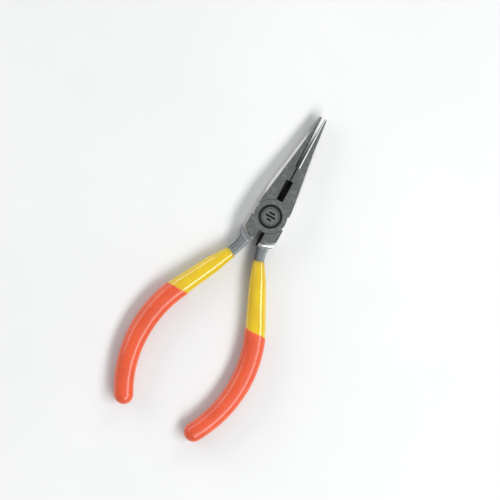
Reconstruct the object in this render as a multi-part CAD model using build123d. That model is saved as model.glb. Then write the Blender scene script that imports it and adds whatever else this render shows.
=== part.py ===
from build123d import *
import math
import os

# Long-nose fishing pliers with a riveted lap joint and dipped two-colour handles.
# Millimetres. The pivot axis is +Z, the jaws point along +Y, and the pliers lie flat:
# z = 0 is the rear face of the joint, which is what the tool rests on.
# Both steel halves come from one forging: the rear half is the front half turned over.
# Each half is drawn closed, then both are opened a little to the pose they are stored in.

# ---- head and jaws ------------------------------------------------------------------
jaw_length = 51.5  # pivot axis to jaw tip
head_width = 16.6  # across the joint
head_thickness = 9.0
tip_width = 2.5  # both jaws together, closed
tip_thickness = 3.0
flank_slope = 0.15  # how fast one jaw's outer side widens, just behind the tip
flank_curve = 0.0008  # and how much faster further back, per millimetre squared
shoulder_blend = 1.0  # how softly the flank runs into the joint's parallel sides
taper_start = 10.0  # from here to the tip the jaws get thinner
taper_blend = 60.0  # radius between the flat of the joint and the thinner jaw
joint_bulge = 0.5  # the outer sides are barrelled by this much at the joint
jaw_bulge = 1.3
tip_bulge = 0.6
bulge_start = 7.0  # the barrelling grows from here
bulge_full = 16.0  # to here
jaw_stations = 8  # sections that the jaw's outer side runs through
jaw_allowance = 0.3  # the sides are made this much taller, then the faces are ground

# ---- lap joint ----------------------------------------------------------------------
disc_inset = 0.4  # of each joint disc's rim from the joint's outer sides
lap_gap = 0.10  # between the two lap faces
rim_gap = 0.15  # between a joint disc and the recess around it
jaw_shoulder_angle = 26.0  # above the line across the joint, where a jaw's shoulder starts
tang_shoulder_angle = 20.0  # below that line, where a tang's shoulder starts
rivet_radius = 2.6
rivet_head_radius = 3.8
rivet_head_depth = 1.3
rivet_clearance = 0.05  # the rivet is tight in the rear half and turns in the front half
rest_opening = 1.6  # degrees between the halves as stored

# ---- jaw faces ----------------------------------------------------------------------
jaw_clearance = 0.04  # of each jaw face from the centre plane, closed
cutter_offset = 0.5  # of the wire cutter from the rim of the joint discs
cutter_length = 10.3
cutter_half_width = 1.5
cutter_wall = 1.9  # height of the pocket's outer wall above the cutting edge
cutter_land = 0.12  # half height of the cutting edge
grip_start = 25.8
grip_bevel = 0.9  # bevel along both edges of the grip face, at its inner end
grip_bevel_tip = 0.35  # and at the tip
tooth_pitch = 1.1
tooth_depth = 0.35

# ---- tangs and handles --------------------------------------------------------------
slot_half_width = 1.4
boss_radius = 12.4  # the ground faces of the joint end here
scoop_run = 2.6  # and run down to the thinner tang over this distance
scoop_slant = 0.35  # how far a scoop goes outwards for each unit down, where it starts
tang_thickness = 5.6
tang_edge_radius = 0.9
neck_inset = 3.1  # centre line of the tang from the joint's outer side
neck_start = 10.5  # the tang's bar begins here, inside the joint
neck_bend = 19.3  # where the neck's line and the leaning line would meet
neck_radius = 14.0
handle_lean = 26.2  # degrees
lean_end = 48.8  # the straight lean ends this far below the pivot
belly_radius = 58.0
belly_sweep = 56.6  # degrees
neck_width = 5.4
waist_width = 4.0
boss_draw = 0.6  # the joint's outer side has come in by this much where its scoop ends
lean_width = 5.5
belly_width = 6.6
end_width = 5.6
handle_stations = 12  # sections that a handle runs through

# ---- dipped coats -------------------------------------------------------------------
inner_coat = 1.40  # first coat
coat_lip = 0.45  # thickness of the first coat where it begins
coat_growth = 9.0  # and the length over which it grows to its full thickness
outer_coat = 0.30  # second coat, over it
end_drip = 1.0  # the first coat is this much thicker at the handle's end
edge_flat = 0.7  # height left square between the rounded edges of a coat
left_coat_start = 23.0  # the left handle's first coat begins this far below the pivot
right_coat_start = 20.4
left_second_start = 49.5
right_second_start = 50.5

# ---- worked out ---------------------------------------------------------------------
mid = head_thickness / 2
half_width = head_width / 2
lap_top = mid + lap_gap / 2
joint_radius = half_width - disc_inset
recess_radius = joint_radius + rim_gap
cutter_start = joint_radius + cutter_offset
neck_outset = half_width - neck_inset
boss_end = boss_radius + scoop_run
lean = math.radians(handle_lean)
neck_tangent = neck_radius * math.tan(lean / 2)
neck_straight = neck_bend - neck_tangent - neck_start
lean_straight = (lean_end - neck_bend) / math.cos(lean) - neck_tangent
lean_middle = (neck_bend + lean_end) / 2
belly_bottom = lean_end + belly_radius * math.sin(lean)
handle_bottom = belly_bottom + belly_radius * math.sin(math.radians(belly_sweep) - lean)
reach = jaw_length * 4  # past the end of the tool, for cutting tools
on_floor = (Align.CENTER, Align.CENTER, Align.MIN)
below_align = (Align.CENTER, Align.MAX, Align.CENTER)


def turned_over(shape):
    """The same piece turned half a turn about the tool's long axis."""
    return Pos(0, 0, head_thickness) * Rot(0, 180, 0) * shape


def opened(shape, side):
    """A piece of the front half (side 1) or the rear half (side -1), as stored."""
    return Rot(0, 0, -side * rest_opening / 2) * shape


def between(stops, at):
    """Value at a place, in line between the stops either side of it."""
    for (start, low), (end, high) in zip(stops, stops[1:]):
        if at <= end:
            return low + (high - low) * (at - start) / (end - start)
    return stops[-1][1]


# ---- jaw ----------------------------------------------------------------------------
def jaw_half_width(y):
    """Distance of the jaw's outer side from the centre plane at y."""
    run = jaw_length - y
    flank = tip_width / 2 + flank_slope * run + flank_curve * run**2
    return (half_width + flank - math.hypot(half_width - flank, shoulder_blend)) / 2


def jaw_half_height(y):
    """Half the thickness of the jaw at y, before its faces are blended."""
    return between([(0, mid), (taper_start, mid), (jaw_length, tip_thickness / 2)], y)


def jaw_bulge_at(y):
    """How far the jaw's outer side stands out between its edges at y."""
    start = [(0, joint_bulge), (bulge_start, joint_bulge)]
    return between(start + [(bulge_full, jaw_bulge), (jaw_length, tip_bulge)], y)


def jaw_section(y):
    """Section across the front half's jaw, before its faces are ground."""
    finished = jaw_half_height(y)
    height = finished + jaw_allowance
    half = jaw_half_width(y)
    edge = half - jaw_bulge_at(y) * (height / finished) ** 2
    with BuildSketch(Plane.XZ.offset(-y)) as section:
        with BuildLine():
            Polyline((edge, -height), (jaw_clearance, -height), (jaw_clearance, height), (edge, height))
            ThreePointArc((edge, height), (half, 0), (edge, -height))
        make_face()
    return Pos(0, 0, mid) * section.sketch


def ground_faces():
    """Prism between the ground faces of the joint and the tapered faces of the jaws."""
    past = jaw_length + 1
    corners = [
        (-boss_radius, mid),
        (taper_start, mid),
        (past, jaw_half_height(jaw_length) - (mid - tip_thickness / 2) / (jaw_length - taper_start)),
    ]
    below = [(y, -z) for y, z in reversed(corners)]
    with BuildSketch(Plane.YZ) as profile:
        Polygon(*corners, *below, align=None)
        knees = [v for v in profile.vertices() if abs(v.Z) > mid - 0.01 and abs(v.Y) < boss_radius]
        fillet(knees, radius=taper_blend)
    return Pos(0, 0, mid) * extrude(profile.sketch, amount=head_width, both=True)


def jaw_blank():
    """The jaw before its inner face is cut, from its shoulder to the tip."""
    stations = [jaw_length * i / (jaw_stations - 1) for i in range(jaw_stations)]
    blank = loft([jaw_section(y) for y in stations]) & ground_faces()
    rise = math.tan(math.radians(jaw_shoulder_angle))
    below_shoulder = Polygon((0, 0), (reach, -1), (reach, rise * reach), align=None)
    return blank - extrude(below_shoulder, amount=head_thickness, both=True)


def cutter_pocket():
    """Both faces' pockets of the wire cutter, which meet the cutting edge between them."""
    with BuildSketch(Plane.XZ.offset(-cutter_start)) as pocket:
        Polygon(
            (0, mid + cutter_land),
            (jaw_clearance, mid + cutter_land),
            (cutter_half_width, mid + cutter_wall),
            (cutter_half_width, head_thickness),
            (0, head_thickness),
            align=None,
        )
    upper = extrude(pocket.sketch, amount=-cutter_length)
    return upper + mirror(upper, Plane.XY.offset(mid))


def grip_teeth():
    """Grooves across the grip face, up to the tip's own flat."""
    with BuildSketch() as tooth:
        Polygon(
            (0, 0),
            (jaw_clearance, 0),
            (jaw_clearance + tooth_depth, tooth_pitch / 2),
            (jaw_clearance, tooth_pitch),
            (0, tooth_pitch),
            align=None,
        )
    groove = extrude(tooth.sketch, amount=head_thickness)
    count = int((jaw_length - grip_start) / tooth_pitch)
    return [Pos(0, grip_start + i * tooth_pitch, 0) * groove for i in range(count)]


def grip_bevels():
    """The bevels along the grip's upper and lower edges."""
    sections = []
    for y, bevel in ((grip_start, grip_bevel), (jaw_length, grip_bevel_tip)):
        face = jaw_half_height(y)
        with BuildSketch(Plane.XZ.offset(-y)) as section:
            Polygon(
                (0, face - bevel),
                (jaw_clearance, face - bevel),
                (jaw_clearance + bevel, face),
                (jaw_clearance + bevel, face + 1),
                (0, face + 1),
                align=None,
            )
        sections.append(Pos(0, 0, mid) * section.sketch)
    upper = loft(sections, ruled=True)
    return [upper, mirror(upper, Plane.XY.offset(mid))]


def jaw():
    return jaw_blank() - [cutter_pocket(), *grip_teeth(), *grip_bevels()]


# ---- tang and handle line -----------------------------------------------------------
def handle_path(longer=0.0):
    """Centre line of a tang and its handle on the +X side: neck, bend, lean and belly."""
    with BuildLine() as path:
        neck = Line((neck_outset, -neck_start), (neck_outset, -neck_start - neck_straight))
        bend = JernArc(neck @ 1, neck % 1, neck_radius, handle_lean)
        leaning = PolarLine(bend @ 1, lean_straight, direction=bend % 1)
        belly = JernArc(leaning @ 1, leaning % 1, belly_radius, -belly_sweep)
        if longer:
            PolarLine(belly @ 1, longer, direction=belly % 1)
    return path.wires()[0]


def steel_width(below):
    """Width of the steel across the handle's centre line, that far below the pivot."""
    stops = [
        (neck_start, neck_width),
        (boss_end, waist_width),
        (neck_bend, waist_width),
        (lean_middle, lean_width),
        (lean_end, belly_width),
        (belly_bottom, belly_width),
    ]
    return between(stops + [(handle_bottom, end_width)], below)


def share_at(path, below):
    """Share of the handle line's length at which it has come that far below the pivot."""
    low, high = 0.0, 1.0
    for _ in range(40):
        share = (low + high) / 2
        if -(path @ share).Y < below:
            low = share
        else:
            high = share
    return share


def handle_bar(start, edge, longer=0.0, coat=lambda below: 0.0, over=0.0):
    """Bar along the handle line with rounded edges and a round end, on the +X side.

    It begins `start` below the pivot, and is the steel with a coat on it and another over
    that one. It stands `longer` past the end of the line.
    """
    path = handle_path(longer)
    first = share_at(path, start)
    sections = []
    for i in range(handle_stations + 1):
        share = first + (1 - first) * i / handle_stations
        place = path @ share
        across = Plane(place, x_dir=(0, 0, 1), z_dir=path % share)
        thick = coat(-place.Y)
        height = tang_thickness + 2 * thick
        width = steel_width(-place.Y) + 2 * thick
        rounding = min(edge, (height - edge_flat) / 2, (width - edge_flat) / 2)
        outline = RectangleRounded(height + 2 * over, width + 2 * over, rounding + over)
        sections.append(across * outline)
    inner_side = across * Pos(0, width, 0) * Rectangle(2 * height, 2 * width)
    nose = revolve(sections[-1] & inner_side, Axis(place, (0, 0, 1)), 180)
    return Pos(0, 0, mid) * (loft(sections) + nose)


def handle_steel():
    return handle_bar(neck_start, tang_edge_radius)


def boss_plan():
    """Plan of the tang where it leaves the joint, on the +X side."""
    drop = math.tan(math.radians(tang_shoulder_angle))
    outer_end = (half_width - boss_draw, -boss_end)
    with BuildSketch() as plan:
        with BuildLine():
            Polyline(
                outer_end,
                (slot_half_width, -boss_end),
                (slot_half_width, -slot_half_width * drop),
                (half_width, -half_width * drop),
                (half_width, -joint_radius),
            )
            TangentArc((half_width, -joint_radius), outer_end, tangent=(0, -1))
        make_face()
    return plan.sketch


def joint_boss():
    """Solid of revolution: ground faces of the joint, scooped down to the tangs' thickness."""
    tang = tang_thickness / 2
    with BuildSketch(Plane.XZ) as profile:
        with BuildLine():
            Polyline((boss_radius, -mid), (0, -mid), (0, mid), (boss_radius, mid))
            TangentArc((boss_radius, mid), (boss_end, tang), tangent=(scoop_slant, -1))
            Line((boss_end, tang), (boss_end, -tang))
            TangentArc((boss_radius, -mid), (boss_end, -tang), tangent=(scoop_slant, 1))
        make_face()
    return Pos(0, 0, mid) * revolve(profile.sketch, Axis.Z)


def tang():
    """The front half's tang and handle bar, on the -X side."""
    block = extrude(boss_plan(), amount=head_thickness) & joint_boss()
    return turned_over(handle_steel() + block)


# ---- the two steel halves and the rivet ---------------------------------------------
def disc(radius, low, high):
    return Pos(0, 0, low) * Cylinder(radius, high - low, align=on_floor)


def rivet(clearance=0.0):
    """The rivet, flush with both faces, or the bore for it with some clearance."""
    radius = rivet_radius + clearance
    head = rivet_head_radius + clearance
    cone = Cone(radius, head, rivet_head_depth, align=on_floor)
    upper = Pos(0, 0, head_thickness - rivet_head_depth) * cone
    return disc(radius, 0, head_thickness) + upper + turned_over(upper)


def steel_half(clearance):
    """The front half, closed: jaw at +X, tang at -X, joint disc in the upper layer."""
    forging = jaw() + tang() - disc(recess_radius, 0, lap_top)
    return forging + disc(joint_radius, lap_top, head_thickness) - rivet(clearance)


# ---- dipped coats -------------------------------------------------------------------
def coats(first_start, second_start):
    """Both coats of a handle on the +X side."""

    def first_thickness(below):
        return between([(first_start, coat_lip), (first_start + coat_growth, inner_coat)], below)

    dipped = handle_bar(first_start, head_thickness, end_drip, first_thickness)
    twice = handle_bar(first_start, head_thickness, end_drip, first_thickness, outer_coat)
    below_second = Pos(0, -second_start, 0) * Box(reach, reach, reach, align=below_align)
    return dipped - handle_steel(), (twice & below_second) - dipped


# ---- the pliers ---------------------------------------------------------------------
left_first, left_second = coats(left_coat_start, left_second_start)
right_first, right_second = coats(right_coat_start, right_second_start)

nodes = {
    "front_lever": opened(steel_half(rivet_clearance), 1),
    "rear_lever": opened(turned_over(steel_half(0.0)), -1),
    "pivot_rivet": rivet(),
    "left_grip_first_coat": opened(turned_over(left_first), 1),
    "left_grip_second_coat": opened(turned_over(left_second), 1),
    "right_grip_first_coat": opened(right_first, -1),
    "right_grip_second_coat": opened(right_second, -1),
}

os.makedirs("parts", exist_ok=True)
for name, shape in nodes.items():
    export_step(shape, f"parts/{name}.step")
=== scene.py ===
import math
import bpy
import bmesh
from mathutils import Matrix, Vector, noise


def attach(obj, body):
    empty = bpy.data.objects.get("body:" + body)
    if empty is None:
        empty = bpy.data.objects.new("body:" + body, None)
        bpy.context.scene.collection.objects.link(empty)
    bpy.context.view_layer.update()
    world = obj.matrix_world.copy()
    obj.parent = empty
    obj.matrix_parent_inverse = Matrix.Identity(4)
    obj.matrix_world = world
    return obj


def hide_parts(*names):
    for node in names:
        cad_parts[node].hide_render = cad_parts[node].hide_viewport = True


# Long-nose pliers with a riveted lap joint and handles dipped twice, lying on a pale floor.
# Sizes in the dictionaries are millimetres unless they say otherwise.
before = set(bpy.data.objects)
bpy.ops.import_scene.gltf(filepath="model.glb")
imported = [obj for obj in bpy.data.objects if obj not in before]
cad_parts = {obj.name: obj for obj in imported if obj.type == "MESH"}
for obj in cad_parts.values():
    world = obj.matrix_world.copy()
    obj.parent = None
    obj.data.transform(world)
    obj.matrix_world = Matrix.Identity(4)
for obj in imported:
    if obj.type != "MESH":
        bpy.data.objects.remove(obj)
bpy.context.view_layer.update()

mm = 0.001
halfOpening = math.radians(0.8)  # each half stands this far open at rest
midHeight = 4.5

# Looking down on the tool, a little from its left. Metres here, but for the sensor.
view = {
    "tilt": math.radians(10.5),
    "turn": math.radians(29.6),
    "middle": (-0.00074, -0.0180),
    "faceHeight": 0.009,
    "distance": 1.2,
    "width": 0.230,
    "sensor": 36.0,
}

# Metres here too.
studio = {
    "floorSize": 3.0,
    "floorColor": (0.72, 0.72, 0.715, 1),
    "floorTint": (0.685, 0.69, 0.69, 1),
    "floorGrain": (6.0, 4.0),  # scale and detail
    "floorHeight": -0.00002,
    "skyColor": (0.95, 0.97, 1.0, 1),
    "skyStrength": 0.44,
    # where each soft panel stands, the way its long side runs, its two sides and its power
    "panels": {
        "rightPanel": ((0.58, -0.12, 0.79), (0, 1, 0), (0.32, 1.3), 10.5),
        "leftPanel": ((-0.92, 0.15, 0.34), (0, 1, 0), (0.45, 1.1), 5.0),
        "headPanel": ((-0.10, 0.95, 0.50), (1, 0, 0), (0.25, 0.8), 2.6),
    },
}


def addObject(name, data):
    thing = bpy.data.objects.new(name, data)
    bpy.context.scene.collection.objects.link(thing)
    return thing


def makeCamera():
    toCamera = Vector((-math.sin(view["tilt"]), 0, math.cos(view["tilt"])))
    middle = Vector((*view["middle"], view["faceHeight"]))
    up = Vector((-math.sin(view["turn"]), math.cos(view["turn"]), 0))
    right = up.cross(toCamera).normalized()
    up = toCamera.cross(right)
    data = bpy.data.cameras.new("camera")
    data.sensor_width = view["sensor"]
    data.lens = view["sensor"] * view["distance"] / view["width"]
    camera = addObject("camera", data)
    turned = Matrix((right, up, toCamera)).transposed().to_4x4()
    camera.matrix_world = Matrix.Translation(middle + toCamera * view["distance"]) @ turned
    bpy.context.scene.camera = camera


def makePanels():
    for name, (place, longSide, size, power) in studio["panels"].items():
        data = bpy.data.lights.new(name, "AREA")
        data.shape = "RECTANGLE"
        data.size, data.size_y = size
        data.energy = power
        panel = addObject(name, data)
        outwards = Vector(place).normalized()
        across = Vector(longSide).cross(outwards).normalized()
        turned = Matrix((across, outwards.cross(across), outwards)).transposed().to_4x4()
        panel.matrix_world = Matrix.Translation(place) @ turned
    world = bpy.data.worlds.new("studio")
    world.use_nodes = True
    sky = world.node_tree.nodes["Background"]
    sky.inputs["Color"].default_value = studio["skyColor"]
    sky.inputs["Strength"].default_value = studio["skyStrength"]
    bpy.context.scene.world = world
    bpy.context.scene.view_settings.view_transform = "Standard"


# Shader helpers. Each adds a node and gives back its output.
def newMaterial(name, **sockets):
    material = bpy.data.materials.new(name)
    material.use_nodes = True
    shader = material.node_tree.nodes["Principled BSDF"]
    for socket, value in sockets.items():
        shader.inputs[socket.replace("_", " ")].default_value = value
    return material, material.node_tree, shader


def plug(tree, socket, value):
    if isinstance(value, bpy.types.NodeSocket):
        tree.links.new(value, socket)
    else:
        socket.default_value = value


def calc(tree, operation, first, second=0.0):
    node = tree.nodes.new("ShaderNodeMath")
    node.operation = operation
    plug(tree, node.inputs[0], first)
    plug(tree, node.inputs[1], second)
    return node.outputs[0]


def fade(tree, value, low, high, start=0.0, end=1.0):
    node = tree.nodes.new("ShaderNodeMapRange")
    node.interpolation_type = "SMOOTHSTEP"
    for socket, amount in zip(node.inputs[:5], (value, low, high, start, end)):
        plug(tree, socket, amount)
    return node.outputs[0]


def above(tree, value, edge, soft=0.05):
    return fade(tree, value, edge - soft, edge + soft)


def below(tree, value, edge, soft=0.05):
    return fade(tree, value, edge - soft, edge + soft, 1.0, 0.0)


def allOf(tree, *masks):
    result = masks[0]
    for mask in masks[1:]:
        result = calc(tree, "MULTIPLY", result, mask)
    return result


def anyOf(tree, *masks):
    result = masks[0]
    for mask in masks[1:]:
        result = calc(tree, "MAXIMUM", result, mask)
    return result


def mapped(tree, vector, scale=(1, 1, 1), turn=0.0):
    node = tree.nodes.new("ShaderNodeMapping")
    plug(tree, node.inputs["Vector"], vector)
    node.inputs["Scale"].default_value = scale
    node.inputs["Rotation"].default_value = (0, 0, turn)
    return node.outputs[0]


def grain(tree, vector, scale, detail=3.0, roughness=0.55):
    node = tree.nodes.new("ShaderNodeTexNoise")
    plug(tree, node.inputs["Vector"], vector)
    node.inputs["Scale"].default_value = scale
    node.inputs["Detail"].default_value = detail
    node.inputs["Roughness"].default_value = roughness
    return node.outputs["Fac"]


def mixColor(tree, factor, first, second):
    node = tree.nodes.new("ShaderNodeMix")
    node.data_type = "RGBA"
    plug(tree, node.inputs["Factor"], factor)
    plug(tree, node.inputs[6], first)
    plug(tree, node.inputs[7], second)
    return node.outputs[2]


def mixValue(tree, factor, first, second):
    node = tree.nodes.new("ShaderNodeMix")
    plug(tree, node.inputs["Factor"], factor)
    plug(tree, node.inputs[2], first)
    plug(tree, node.inputs[3], second)
    return node.outputs[0]


def bumped(tree, height, distance, strength=1.0, normal=None):
    node = tree.nodes.new("ShaderNodeBump")
    plug(tree, node.inputs["Height"], height)
    node.inputs["Distance"].default_value = distance
    node.inputs["Strength"].default_value = strength
    if normal:
        plug(tree, node.inputs["Normal"], normal)
    return node.outputs[0]


def apart(tree, vector):
    node = tree.nodes.new("ShaderNodeSeparateXYZ")
    plug(tree, node.inputs[0], vector)
    return node.outputs


def lengthOf(tree, vector):
    node = tree.nodes.new("ShaderNodeVectorMath")
    node.operation = "LENGTH"
    plug(tree, node.inputs[0], vector)
    return node.outputs["Value"]


def inMillimetres(tree, turn=0.0):
    coords = tree.nodes.new("ShaderNodeTexCoord").outputs["Object"]
    return mapped(tree, coords, (1 / mm, 1 / mm, 1 / mm), turn)


def faceUp(tree):
    normal = tree.nodes.new("ShaderNodeTexCoord").outputs["Normal"]
    return calc(tree, "ABSOLUTE", apart(tree, normal)[2])


# Steel: ground faces, polished barrelled sides, forged tangs, a blackened wire cutter.
steel = {
    "ground": (0.285, 0.300, 0.285, 1),
    "groundDark": (0.170, 0.182, 0.174, 1),
    "polished": (0.70, 0.70, 0.685, 1),
    "forged": (0.215, 0.235, 0.235, 1),
    "forgedDark": (0.115, 0.130, 0.135, 1),
    "scoop": (0.50, 0.52, 0.51, 1),
    "black": (0.030, 0.030, 0.025, 1),
    "groundEnd": 12.45,  # distance from the pivot
    "scoopEnd": 15.4,
    "tangTop": -2.0,  # heights along the tool, from the pivot
    "slotTop": -8.0,
    "cutterLow": 8.35,
    "cutterHigh": 18.75,
    "insideLow": 18.0,
    "gripLow": 25.5,
    "cutterHalf": 1.56,  # distances from the centre line
    "slotHalf": 1.5,
    "insideHalf": 1.2,
    "gripEdgeHalf": 2.4,
    "boreGap": (3.76, 3.92),  # the dark line round the rivet, from the pivot
    "rivetRim": 3.66,
    "groundUp": 0.975,  # how straight up a face looks, 1 being level
    "gripEdgeUp": 0.97,
    "insideUp": 0.6,
    "lines": (9.0, 0.22, 1.0),  # stretch of the grinding lines
    "broadLines": (3.4, 0.16, 1.0),
    "lineDepth": 0.006,
    "pitDepth": 0.05,
    "clouds": (0.16, 4.0, 0.6),  # scale, detail and roughness of each grain
    "speckles": (2.6, 5.0, 0.7),
    "wear": (0.55, 5.0, 0.65),
    "groundRough": (0.30, 0.22),  # how rough each finish is
    "polishedRough": 0.17,
    "forgedRough": (0.36, 0.52),
    "dullRough": 0.5,
    "wornRough": (-0.02, 0.07),
}

# Printing on the front face: a plain ring, and three plain bars on the rivet.
mark = {
    "ink": (0.008, 0.008, 0.009, 1),
    "ringRadius": 5.0,
    "ringHalf": 0.68,
    "ringSoft": 0.035,
    "bars": ((1.6, 1.5), (0.0, 2.6), (-1.6, 1.1)),  # place up the face, half length
    "barHalf": 0.45,
    "barSoft": 0.03,
    "printedFrom": 8.9,  # printing lies only above this height
}


def brushed(tree, place, lean=0.05):
    # fine grinding lines along the tool, crossed by a few broader ones
    fine = grain(tree, mapped(tree, place, steel["lines"], lean), 1.0, 5.0, 0.7)
    broad = grain(tree, mapped(tree, place, steel["broadLines"], -2.4 * lean), 1.0, 3.0)
    return calc(tree, "ADD", calc(tree, "MULTIPLY", fine, 0.7), calc(tree, "MULTIPLY", broad, 0.3))


def steelAreas(tree, x, y, radius, upright):
    across = calc(tree, "ABSOLUTE", x)
    tang = allOf(
        tree,
        above(tree, radius, steel["groundEnd"], 0.15),
        below(tree, y, steel["tangTop"], 0.3),
    )
    offTang = calc(tree, "SUBTRACT", 1.0, tang)
    gapStart, gapEnd = steel["boreGap"]
    return {
        "offTang": offTang,
        "ground": allOf(tree, above(tree, upright, steel["groundUp"], 0.012), offTang),
        "scooped": allOf(tree, tang, below(tree, radius, steel["scoopEnd"], 0.7)),
        "forged": allOf(tree, tang, above(tree, radius, steel["scoopEnd"] - 0.6, 0.9)),
        "cutter": allOf(
            tree,
            below(tree, across, steel["cutterHalf"]),
            above(tree, y, steel["cutterLow"]),
            below(tree, y, steel["cutterHigh"]),
        ),
        # the slot between the tangs, coloured black: oxide together with painted shade of the gap
        "slot": allOf(
            tree,
            below(tree, across, steel["slotHalf"]),
            below(tree, y, steel["slotTop"], 0.1),
        ),
        "inside": allOf(
            tree,
            below(tree, across, steel["insideHalf"], 0.3),
            below(tree, upright, steel["insideUp"], 0.2),
            above(tree, y, steel["insideLow"], 0.3),
        ),
        "gripEdge": allOf(
            tree,
            below(tree, across, steel["gripEdgeHalf"], 0.3),
            above(tree, y, steel["gripLow"]),
            below(tree, upright, steel["gripEdgeUp"], 0.01),
        ),
        "boreGap": allOf(
            tree,
            above(tree, radius, gapStart, 0.03),
            below(tree, radius, gapEnd, 0.03),
        ),
    }


def steelColor(tree, areas, lines, clouds, speckles):
    ground = mixColor(tree, fade(tree, lines, 0.38, 0.62), steel["groundDark"], steel["ground"])
    smudges = fade(tree, clouds, 0.42, 0.68, 0.0, 0.35)
    ground = mixColor(tree, smudges, ground, steel["groundDark"])
    haze = fade(tree, clouds, 0.35, 0.7, 0.0, 0.22)
    sides = mixColor(tree, haze, steel["polished"], steel["forged"])
    spots = fade(tree, speckles, 0.38, 0.66)
    forged = mixColor(tree, spots, steel["forged"], steel["forgedDark"])
    # painted shade: the inner faces of the jaws, in the gap between them, are darkened towards
    # forgedDark, more or less with the speckles
    jawInsideShade = allOf(tree, areas["inside"], fade(tree, speckles, 0.2, 0.8, 0.5, 0.9))
    # black oxide in the wire cutter, the dark joint line round the rivet, and in the slot between
    # the tangs oxide with painted shade
    blackenedAndSlotShade = anyOf(tree, areas["cutter"], areas["slot"], areas["boreGap"])
    color = mixColor(tree, areas["ground"], sides, ground)
    color = mixColor(tree, areas["scooped"], color, steel["scoop"])
    color = mixColor(tree, areas["forged"], color, forged)
    color = mixColor(tree, jawInsideShade, color, steel["forgedDark"])
    color = mixColor(tree, areas["gripEdge"], color, steel["ground"])
    return mixColor(tree, blackenedAndSlotShade, color, steel["black"])


def plugFinish(tree, shader, color, dull):
    # where it is dull the surface is oxide or ink, and not bare metal; in the slot between the
    # tangs the dull black is oxide and painted shade
    plug(tree, shader.inputs["Base Color"], color)
    plug(tree, shader.inputs["Metallic"], fade(tree, dull, 0.0, 1.0, 1.0, 0.0))
    plug(tree, shader.inputs["Specular IOR Level"], fade(tree, dull, 0.0, 1.0, 0.5, 0.12))


def leverSteel(name, turn, marked):
    material, tree, shader = newMaterial(name, Metallic=1.0)
    place = inMillimetres(tree, turn)
    x, y, z = apart(tree, place)
    radius = lengthOf(tree, mapped(tree, place, (1, 1, 0)))
    areas = steelAreas(tree, x, y, radius, faceUp(tree))
    lines = brushed(tree, place)
    speckles = grain(tree, place, *steel["speckles"])
    color = steelColor(tree, areas, lines, grain(tree, place, *steel["clouds"]), speckles)
    dull = anyOf(tree, areas["cutter"], areas["slot"])
    if marked:
        fromRing = calc(tree, "ABSOLUTE", calc(tree, "SUBTRACT", radius, mark["ringRadius"]))
        ring = allOf(
            tree,
            below(tree, fromRing, mark["ringHalf"], mark["ringSoft"]),
            above(tree, z, mark["printedFrom"], 0.03),
            fade(tree, speckles, 0.20, 0.32, 0.9, 1.0),
        )
        color = mixColor(tree, ring, color, mark["ink"])
        dull = anyOf(tree, dull, ring)
    plugFinish(tree, shader, color, dull)

    groundRough = fade(tree, lines, 0.3, 0.7, *steel["groundRough"])
    forgedRough = fade(tree, speckles, 0.3, 0.7, *steel["forgedRough"])
    rough = mixValue(tree, areas["ground"], steel["polishedRough"], groundRough)
    rough = mixValue(tree, areas["forged"], rough, forgedRough)
    rough = mixValue(tree, dull, rough, steel["dullRough"])
    worn = fade(tree, grain(tree, place, *steel["wear"]), 0.45, 0.7, *steel["wornRough"])
    plug(tree, shader.inputs["Roughness"], calc(tree, "ADD", rough, worn))
    surface = bumped(tree, allOf(tree, lines, areas["offTang"]), steel["lineDepth"] * mm, 0.9)
    pits = allOf(tree, speckles, areas["forged"])
    surface = bumped(tree, pits, steel["pitDepth"] * mm, 0.8, surface)
    plug(tree, shader.inputs["Normal"], surface)
    return material


def rivetSteel():
    material, tree, shader = newMaterial("rivetSteel", Metallic=1.0)
    place = inMillimetres(tree)
    x, y, z = apart(tree, place)
    across = calc(tree, "ABSOLUTE", x)
    radius = lengthOf(tree, mapped(tree, place, (1, 1, 0)))
    lines = brushed(tree, place, 0.09)
    color = mixColor(tree, fade(tree, lines, 0.36, 0.64), steel["groundDark"], steel["ground"])
    rim = allOf(tree, above(tree, radius, steel["rivetRim"], 0.07), 0.75)
    color = mixColor(tree, rim, color, steel["black"])
    bars = []
    for height, half in mark["bars"]:
        fromBar = calc(tree, "ABSOLUTE", calc(tree, "SUBTRACT", y, height))
        inBar = below(tree, fromBar, mark["barHalf"], mark["barSoft"])
        bars.append(allOf(tree, inBar, below(tree, across, half, mark["barSoft"])))
    printed = allOf(tree, anyOf(tree, *bars), above(tree, z, mark["printedFrom"], 0.03))
    plugFinish(tree, shader, mixColor(tree, printed, color, mark["ink"]), printed)
    plug(tree, shader.inputs["Roughness"], fade(tree, lines, 0.3, 0.7, *steel["groundRough"]))
    plug(tree, shader.inputs["Normal"], bumped(tree, lines, steel["lineDepth"] * mm, 0.9))
    return material


def finish(node, material):
    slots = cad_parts[node].data.materials
    slots.clear()
    slots.append(material)


def paintSteel():
    finishes = {
        "front_lever": leverSteel("frontSteel", halfOpening, True),
        "rear_lever": leverSteel("rearSteel", -halfOpening, False),
        "pivot_rivet": rivetSteel(),
    }
    for name, material in finishes.items():
        finish(name, material)


# The line both handles follow, drawn on the right: neck, bend, straight lean, belly.
line = {
    "start": (5.2, -10.5),
    "neckBend": 19.3,
    "neckRadius": 14.0,
    "lean": math.radians(26.2),
    "leanEnd": 48.8,
    "bellyRadius": 58.0,
    "bellySweep": math.radians(56.6),
}
line["neckReach"] = line["neckRadius"] * math.tan(line["lean"] / 2)
line["neckRun"] = line["neckBend"] + line["start"][1] - line["neckReach"]
line["leanRun"] = (line["leanEnd"] - line["neckBend"]) / math.cos(line["lean"]) - line["neckReach"]
line["parts"] = (
    # length, and how far the line turns outwards over it
    (line["neckRun"], 0.0),
    (line["neckRadius"] * line["lean"], line["lean"]),
    (line["leanRun"], 0.0),
    (line["bellyRadius"] * line["bellySweep"], -line["bellySweep"]),
)
line["whole"] = sum(length for length, turn in line["parts"])


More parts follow.
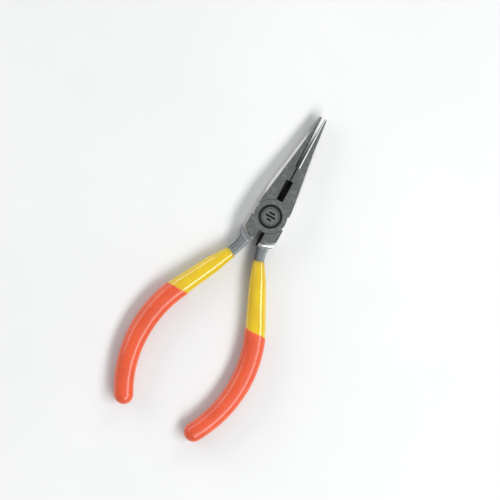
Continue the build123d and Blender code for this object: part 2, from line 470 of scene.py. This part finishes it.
def lineAt(run):
    x, y = line["start"]
    heading = 0.0
    for length, turn in line["parts"]:
        part = min(run, length)
        run -= part
        bend = turn * part / length
        chord = part if bend == 0 else part * math.sin(bend / 2) / (bend / 2)
        x += chord * math.sin(heading + bend / 2)
        y -= chord * math.cos(heading + bend / 2)
        heading += bend
    return x + run * math.sin(heading), y - run * math.cos(heading), heading


def runAt(depth):
    low, high = 0.0, line["whole"]
    for step in range(40):
        middle = (low + high) / 2
        if -lineAt(middle)[1] < depth:
            low = middle
        else:
            high = middle
    return low


# The steel inside the coats.
core = {
    "thickness": 5.6,
    "edge": 0.8,  # rounding of the hidden inner wall, a little sharper than the steel's
    # depth below the pivot, and width there
    "widths": ((15.0, 4.0), (19.3, 4.0), (34.05, 5.5), (48.8, 6.6), (74.4, 6.6), (103.8, 5.6)),
}

coat = {
    "full": 1.40,  # thickness of the first coat
    "lip": 0.45,  # and where it starts
    "growth": 9.0,  # it gets from one to the other over this length
    "lipRound": 0.55,
    "second": 0.30,  # thickness that the second coat adds
    "secondRound": 0.45,
    "drip": 1.0,  # how far the coats run on past the end of the steel
    "flat": 0.7,  # flat strip left on the narrower sides
    "tight": 0.03,  # how far the inner wall sits into what it covers
    "dents": 0.07,
    "dentScale": (0.16, 0.3),  # in the plane of the tool, and up through it
    "dentsOver": 0.2,  # only where the coat is thicker than this
    "dentsNose": 1.2,  # and only this far round the nose, in radians
    "lipWaves": 0.35,
    "lipWaveScale": 2.1,
    "lipReach": 5.0,  # the waves die out this far from the dip line
    "around": 64,  # points round a handle
    "step": 1.1,  # distance between rings outside
    "innerStep": 3.0,
    "lipSteps": (0.03, 0.12, 0.28, 0.5, 0.75, 1.0),  # shares of the rounding
    "noseSteps": 10,
    "merge": 0.002,
}

handles = {
    # side, body, depth of the first and the second dip, seed of the waves
    "left": (-1, "front_half", 23.0, 49.5, 3.7),
    "right": (1, "rear_half", 20.4, 50.5, 11.2),
}


def between(stops, at):
    for (start, low), (end, high) in zip(stops, stops[1:]):
        if at <= end:
            return low + (high - low) * max(0.0, at - start) / (end - start)
    return stops[-1][1]


def firstCoat(depth, start):
    grown = min(1.0, max(0.0, depth - start) / coat["growth"])
    return coat["lip"] + (coat["full"] - coat["lip"]) * grown


def rounded(share):
    return math.sqrt(max(0.0, 1 - (1 - min(1.0, share)) ** 2))


def coatStations(second, firstDip, secondDip):
    # each station: run along the line, thickness over the steel, turn round the nose
    lip = runAt(secondDip if second else firstDip)
    lipRound = coat["secondRound"] if second else coat["lipRound"]

    def under(run):
        depth = -lineAt(run)[1]
        return (firstCoat(depth, firstDip) if second else 0.0) - coat["tight"]

    def over(run):
        added = coat["second"] if second else firstCoat(-lineAt(run)[1], firstDip)
        return under(run) + (added + coat["tight"]) * rounded((run - lip) / lipRound)

    noseSteps = coat["noseSteps"]
    turns = [math.radians(90 * i / noseSteps) for i in range(noseSteps + 1)]
    innerEnd = line["whole"] + (coat["drip"] if second else 0.0)
    outerEnd = line["whole"] + coat["drip"]
    inside = innerEnd - lip
    outside = outerEnd - lip - lipRound
    innerCount = round(inside / coat["innerStep"])
    outerCount = round(outside / coat["step"])
    inner = [innerEnd - inside * i / innerCount for i in range(1, innerCount + 1)]
    outer = [lip + lipRound * share for share in coat["lipSteps"]]
    outer += [lip + lipRound + outside * i / outerCount for i in range(1, outerCount + 1)]
    stations = [(innerEnd, under(innerEnd), turn) for turn in reversed(turns)]
    stations += [(run, under(run), 0.0) for run in inner]
    stations += [(run, over(run), 0.0) for run in outer]
    stations += [(outerEnd, over(outerEnd), turn) for turn in turns[1:]]
    return lip, stations


def unitTube(bm, rings):
    # a round tube with its rings one apart, to be shaped point by point
    circle = bmesh.ops.create_circle(bm, segments=coat["around"], radius=1.0)["verts"]
    bmesh.ops.rotate(bm, verts=circle, matrix=Matrix.Rotation(math.pi / coat["around"], 3, "Z"))
    edges = bm.edges[:]
    for ring in range(1, rings):
        made = bmesh.ops.extrude_edge_only(bm, edges=edges)["geom"]
        raised = [part for part in made if isinstance(part, bmesh.types.BMVert)]
        bmesh.ops.translate(bm, verts=raised, vec=(0, 0, 1))
        edges = [part for part in made if isinstance(part, bmesh.types.BMEdge)
                 and abs(part.verts[0].co.z - part.verts[1].co.z) < 0.5]


def coatPoint(around, station, lip, second, seed):
    run, thick, nose = station
    x, y, heading = lineAt(run)
    width = between(core["widths"], -y) / 2 + thick
    height = core["thickness"] / 2 + thick
    edge = core["edge"] if thick < 0 else min(height, width) - coat["flat"] / 2
    across = math.copysign(width - edge, around.x) + edge * around.x
    rise = math.copysign(height - edge, around.y) + edge * around.y

    # the dip line wanders, and the second one runs level across the leaning handle
    near = math.exp(-abs(run - lip) / coat["lipReach"])
    scale = coat["lipWaveScale"]
    shift = coat["lipWaves"] * noise.noise((scale * around.x, scale * around.y, seed)) * near
    if second:
        shift += across * math.tan(heading) * near
    if nose == 0.0:
        x, y, heading = lineAt(run + shift)

    if thick > coat["dentsOver"] and nose < coat["dentsNose"]:
        flatScale, upScale = coat["dentScale"]
        dent = noise.noise((flatScale * x, flatScale * y, upScale * rise + seed))
        dent = coat["dents"] * (0.5 + 0.5 * dent)
        across -= math.copysign(dent, across) * math.cos(nose)
        rise -= math.copysign(dent, rise) * abs(around.y)
    forward = abs(across) * math.sin(nose)
    across *= math.cos(nose)
    x += across * math.cos(heading) + forward * math.sin(heading)
    y += across * math.sin(heading) - forward * math.cos(heading)
    return x, y, rise


def makeCoat(name, node, second, material):
    side, body, firstDip, secondDip, seed = handles[name]
    lip, stations = coatStations(second, firstDip, secondDip)
    bm = bmesh.new()
    fromLip = bm.verts.layers.float.new("fromLip")
    unitTube(bm, len(stations))
    turn = Matrix.Rotation(side * halfOpening, 3, "Z")
    for vert in bm.verts:
        station = stations[round(vert.co.z)]
        x, y, rise = coatPoint(vert.co, station, lip, second, seed)
        vert[fromLip] = max(0.0, station[0] - lip)
        vert.co = mm * (turn @ Vector((side * x, y, 0)) + Vector((0, 0, midHeight + rise)))
    bmesh.ops.remove_doubles(bm, verts=bm.verts, dist=coat["merge"] * mm)
    bmesh.ops.recalc_face_normals(bm, faces=bm.faces)
    for face in bm.faces:
        face.smooth = True
    mesh = bpy.data.meshes.new(node)
    bm.to_mesh(mesh)
    bm.free()
    mesh.materials.append(material)
    finish(node, material)
    piece = addObject(name + ("SecondCoat" if second else "FirstCoat"), mesh)
    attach(piece, body)
    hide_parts(node)
    print(piece.name, len(mesh.polygons), "faces")


# Glossy dipped vinyl, a little see-through where the coat is thin.
vinyl = {
    "yellow": {
        "base": (0.66, 0.455, 0.006, 1),
        "deep": (0.60, 0.395, 0.005, 1),
        "thin": (0.40, 0.28, 0.02, 1),
        "light": (0.74, 0.56, 0.03, 1),
        "rough": (0.13, 0.20),
        "varnish": 0.5,
        # strength of the painted rim sheen that lightens the grazing edges
        "rimLight": 0.35,
        "thinRun": 2.2,  # it looks thin this far from its lip
    },
    "orange": {
        "base": (0.68, 0.082, 0.026, 1),
        "deep": (0.60, 0.062, 0.018, 1),
        "thin": (0.82, 0.26, 0.05, 1),
        "light": (0.82, 0.17, 0.06, 1),
        "rough": (0.27, 0.36),
        "varnish": 0.10,
        # strength of the painted rim sheen that lightens the grazing edges
        "rimLight": 0.5,
        "thinRun": 0.7,
    },
    "dust": (0.82, 0.80, 0.74, 1),
    "grime": (0.16, 0.12, 0.05, 1),
    "shine": 0.05,
    "glow": 0.12,
    "glowDepth": 1.2,
    "glowColor": (1.0, 0.45, 0.12),
    "shades": (0.09, 3.0, 0.5),  # scale, detail and roughness of each grain
    "peel": (1.9, 3.0, 0.5),
    "dots": (3.1, 2.0, 0.4),
    "scuffs": (0.9, 5.0, 0.7),
    "scuffStretch": (2.4, 0.35, 1.2),
    "ripples": (0.30, 2.0),
    "rippleDepth": 0.08,
    "peelDepth": 0.012,
}


def dippedVinyl(name, shades):
    material, tree, shader = newMaterial(
        name,
        Subsurface_Weight=vinyl["glow"],
        Subsurface_Scale=vinyl["glowDepth"] * mm,
        Subsurface_Radius=vinyl["glowColor"],
        Coat_Weight=shades["varnish"],
        Coat_Roughness=vinyl["shine"],
    )
    place = inMillimetres(tree)
    soft = grain(tree, place, *vinyl["shades"])
    peel = grain(tree, place, *vinyl["peel"])
    dots = grain(tree, place, *vinyl["dots"])
    scuffs = grain(tree, mapped(tree, place, vinyl["scuffStretch"], 0.4), *vinyl["scuffs"])
    along = tree.nodes.new("ShaderNodeAttribute")
    along.attribute_name = "fromLip"
    thin = fade(tree, along.outputs["Fac"], 0.0, shades["thinRun"], 0.75, 0.0)
    # painted rim sheen: the colour turns lighter towards the grazing edges of the coat
    rim = tree.nodes.new("ShaderNodeLayerWeight").outputs["Facing"]
    rim = fade(tree, rim, 0.25, 0.85, 0.0, shades["rimLight"])
    dusty = fade(tree, scuffs, 0.60, 0.76, 0.0, 0.22)
    color = mixColor(tree, fade(tree, soft, 0.36, 0.66), shades["base"], shades["deep"])
    color = mixColor(tree, fade(tree, peel, 0.3, 0.75, 0.0, 0.22), color, shades["light"])
    color = mixColor(tree, rim, color, shades["light"])
    color = mixColor(tree, thin, color, shades["thin"])
    color = mixColor(tree, dusty, color, vinyl["dust"])
    color = mixColor(tree, fade(tree, dots, 0.76, 0.83, 0.0, 0.6), color, vinyl["grime"])
    plug(tree, shader.inputs["Base Color"], color)
    rough = fade(tree, soft, 0.3, 0.7, *shades["rough"])
    plug(tree, shader.inputs["Roughness"], calc(tree, "ADD", rough, dusty))
    ripples = grain(tree, place, *vinyl["ripples"])
    surface = bumped(tree, ripples, vinyl["rippleDepth"] * mm, 0.5)
    surface = bumped(tree, peel, vinyl["peelDepth"] * mm, 0.6, surface)
    plug(tree, shader.inputs["Normal"], surface)
    return material


def makeCoats():
    yellow = dippedVinyl("yellowVinyl", vinyl["yellow"])
    orange = dippedVinyl("orangeVinyl", vinyl["orange"])
    for name in handles:
        makeCoat(name, f"{name}_grip_first_coat", False, yellow)
        makeCoat(name, f"{name}_grip_second_coat", True, orange)


def makeFloor():
    bm = bmesh.new()
    bmesh.ops.create_grid(bm, x_segments=1, y_segments=1, size=studio["floorSize"] / 2)
    mesh = bpy.data.meshes.new("floor")
    bm.to_mesh(mesh)
    bm.free()
    material, tree, shader = newMaterial("paleFloor", Roughness=0.85)
    coords = tree.nodes.new("ShaderNodeTexCoord").outputs["Object"]
    clouds = fade(tree, grain(tree, coords, *studio["floorGrain"]), 0.3, 0.7)
    shade = mixColor(tree, clouds, studio["floorColor"], studio["floorTint"])
    plug(tree, shader.inputs["Base Color"], shade)
    mesh.materials.append(material)
    floor = addObject("floor", mesh)
    floor.location = (0, 0, studio["floorHeight"])


makeCamera()
makePanels()
makeFloor()
print("studio ready")
paintSteel()
print("steel painted")
makeCoats()
print("coats made")
